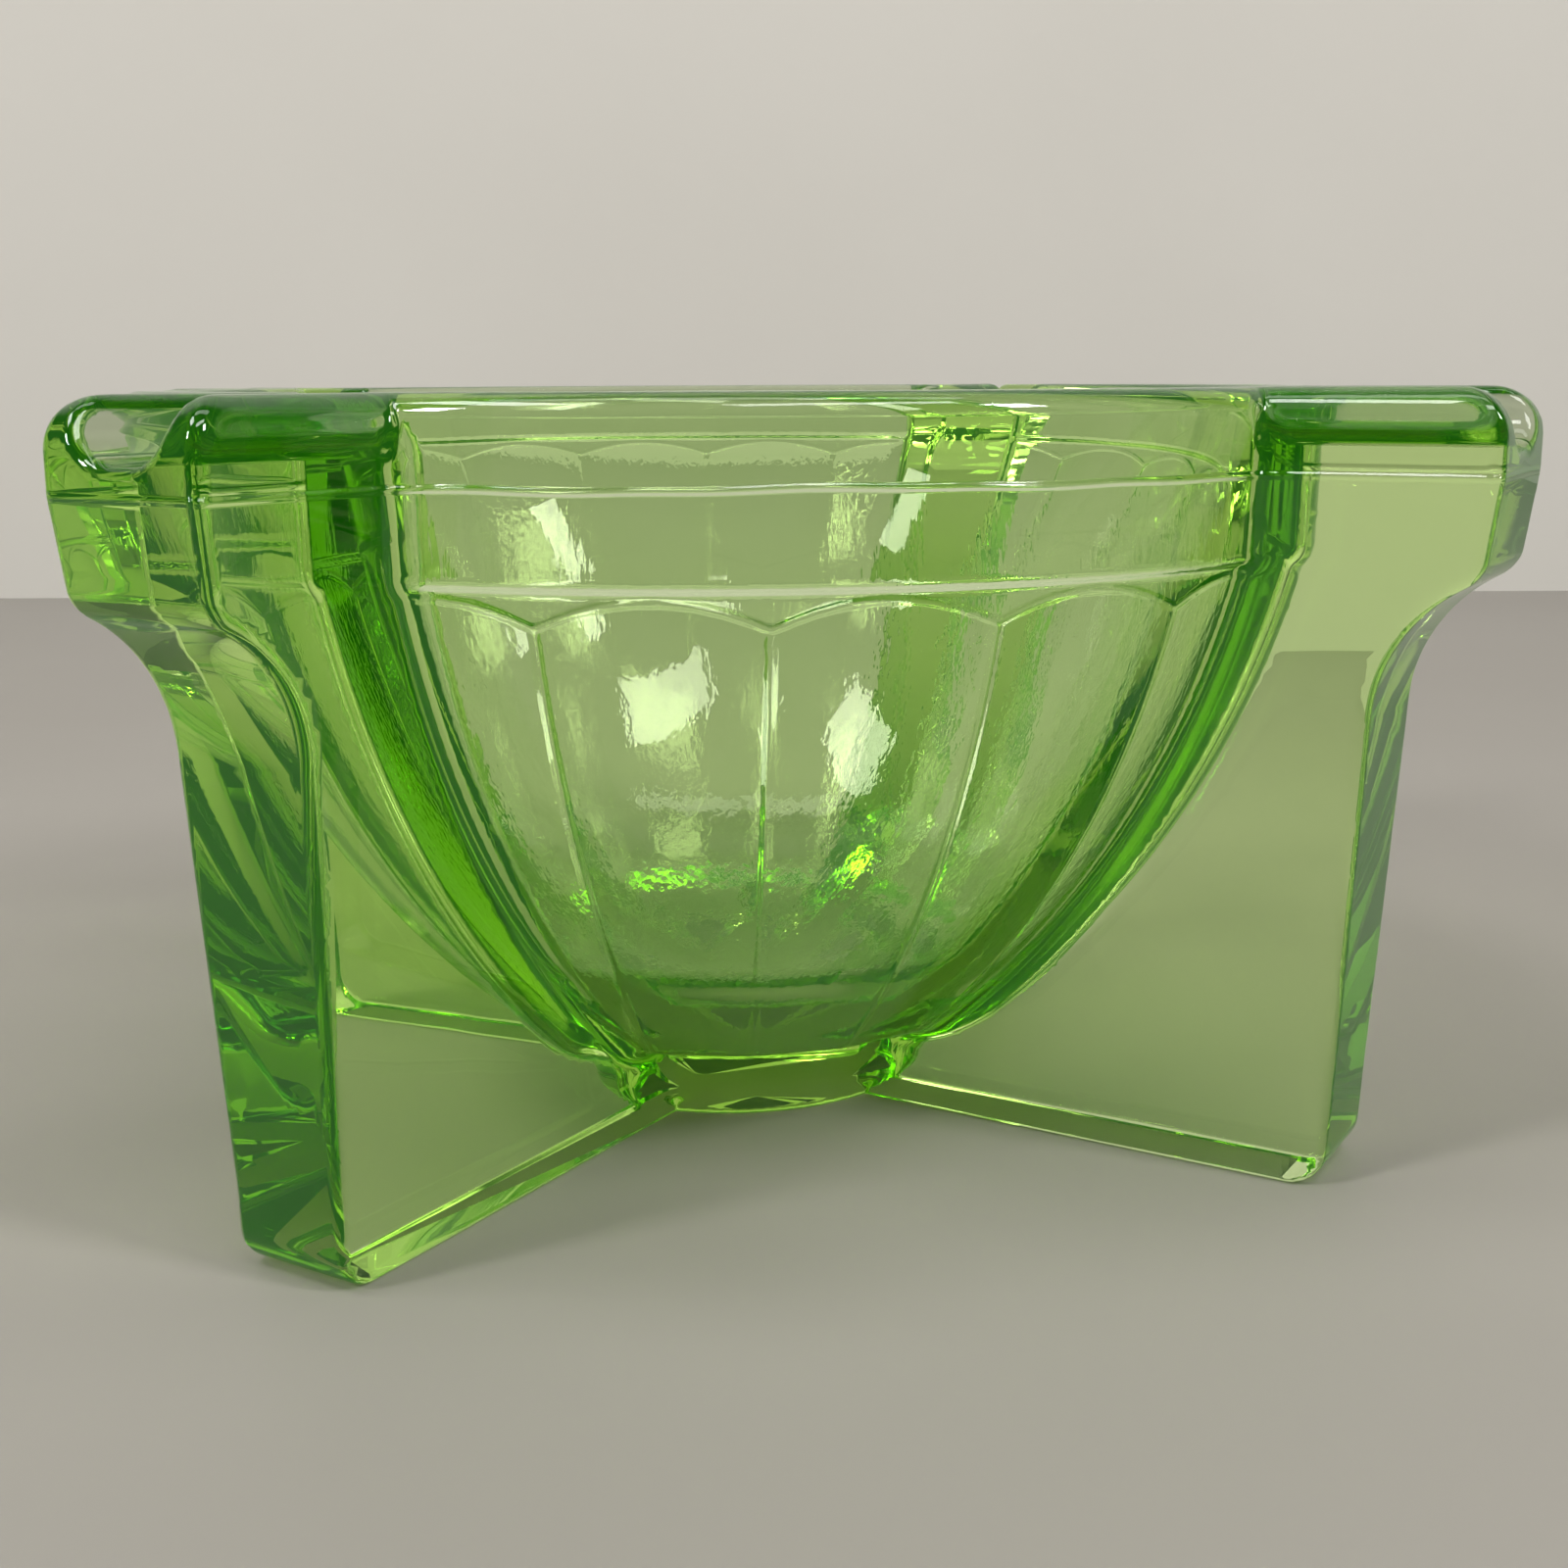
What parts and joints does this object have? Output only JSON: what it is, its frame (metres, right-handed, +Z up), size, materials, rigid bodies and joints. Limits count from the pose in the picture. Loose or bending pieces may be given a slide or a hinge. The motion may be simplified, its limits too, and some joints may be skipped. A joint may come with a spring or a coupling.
{
  "type": "glass ashtray dish",
  "caption": "Round pressed-glass dish with panelled sides, a plain rim band and radial fins that form its feet and hold cigarette rests in their tops.",
  "frame": {"origin": "centre of the underside of the foot pad, in the plane of the table", "axes": "+Z up along the bowl's axis; the fins point along +X, +Y, -X and -Y"},
  "size_m": [0.114, 0.114, 0.0515],
  "materials": {
    "green_glass": "fire-polished, clear yellow-green"
  },
  "bodies": {
    "root": {"bowl": "green_glass", "rim_band": "green_glass", "foot_pad": "green_glass", "fin_right": "green_glass", "fin_back": "green_glass", "fin_left": "green_glass", "fin_front": "green_glass", "rest_right": "green_glass", "rest_back": "green_glass", "rest_left": "green_glass", "rest_front": "green_glass"}
  },
  "joints": []
}
